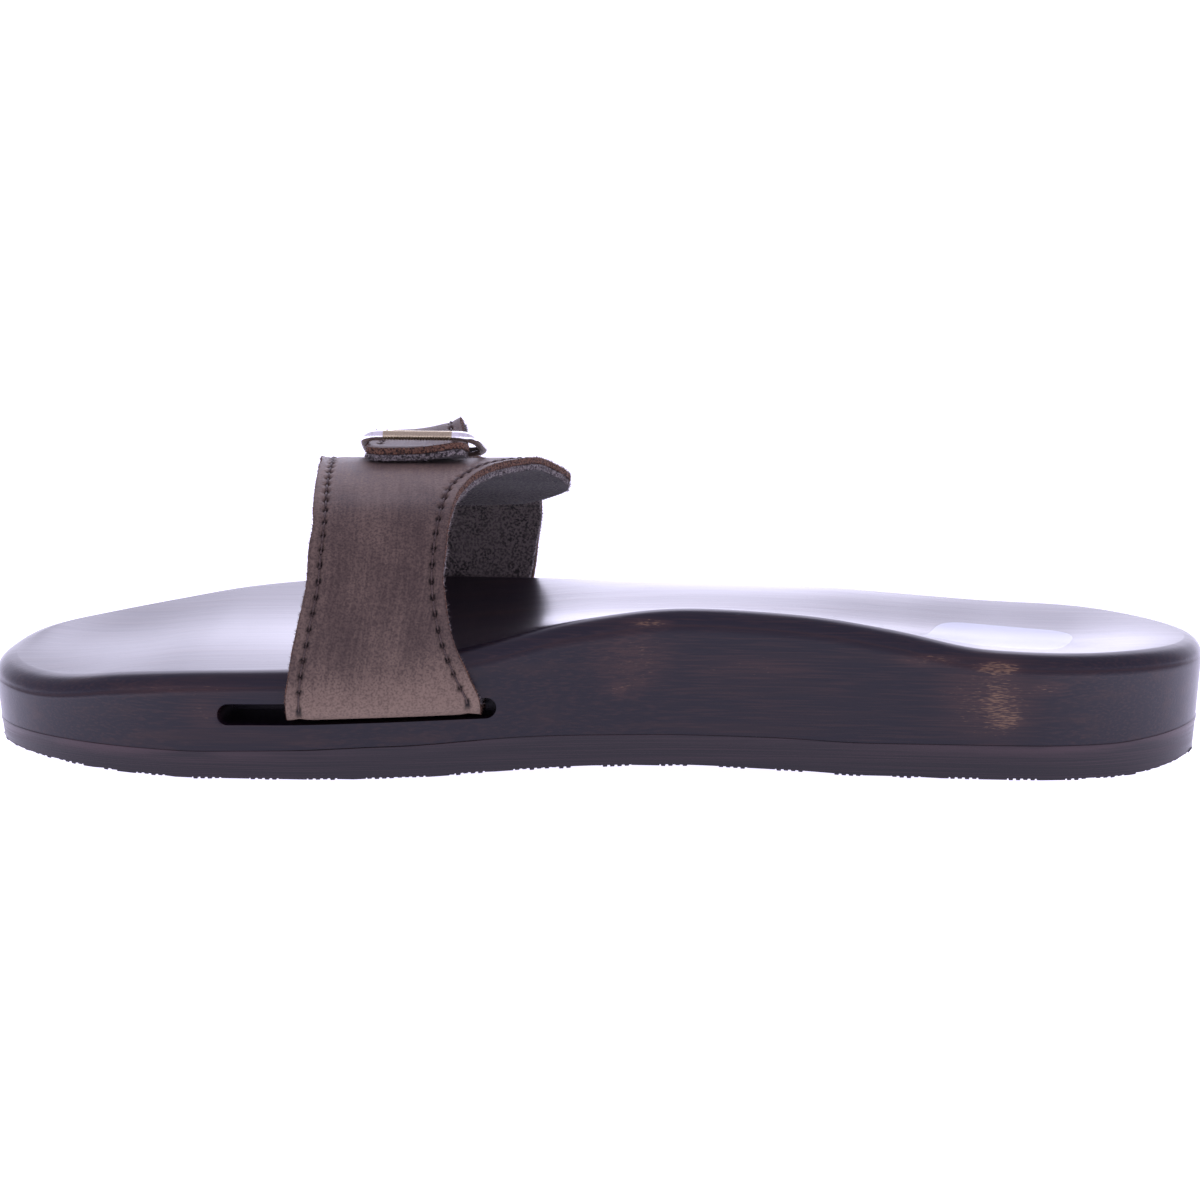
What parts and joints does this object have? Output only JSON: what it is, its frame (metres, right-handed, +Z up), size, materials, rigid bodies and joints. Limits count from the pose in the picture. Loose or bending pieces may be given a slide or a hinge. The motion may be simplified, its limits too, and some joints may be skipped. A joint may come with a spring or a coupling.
{
  "type": "wooden sandal",
  "caption": "Right-foot exercise slide with a carved dark wooden footbed, a brown rubber outsole and a wide leather strap closed by a metal clamp buckle on top.",
  "frame": {"origin": "on the floor, under the middle of the sandal's bounding box", "axes": "+X from toe to heel, -Y toward the medial side (big toe), +Y toward the lateral side, +Z up"},
  "size_m": [0.265, 0.1032, 0.0713],
  "materials": {
    "outsole_rubber": "matte brown rubber with a finely ground edge",
    "stained_wood": "very dark brown stain under satin lacquer, rubbed through to tan in places",
    "strap_leather": "waxed brown leather outside, grey suede lining inside",
    "buckle_nickel": "polished nickel plate",
    "buckle_brass": "finely toothed, brass toned"
  },
  "bodies": {
    "root": {"outsole": "outsole_rubber", "footbed": "stained_wood", "strap_medial": "strap_leather", "strap_lateral": "strap_leather", "buckle_frame": "buckle_nickel", "buckle_grip_bar": "buckle_brass"}
  },
  "joints": []
}
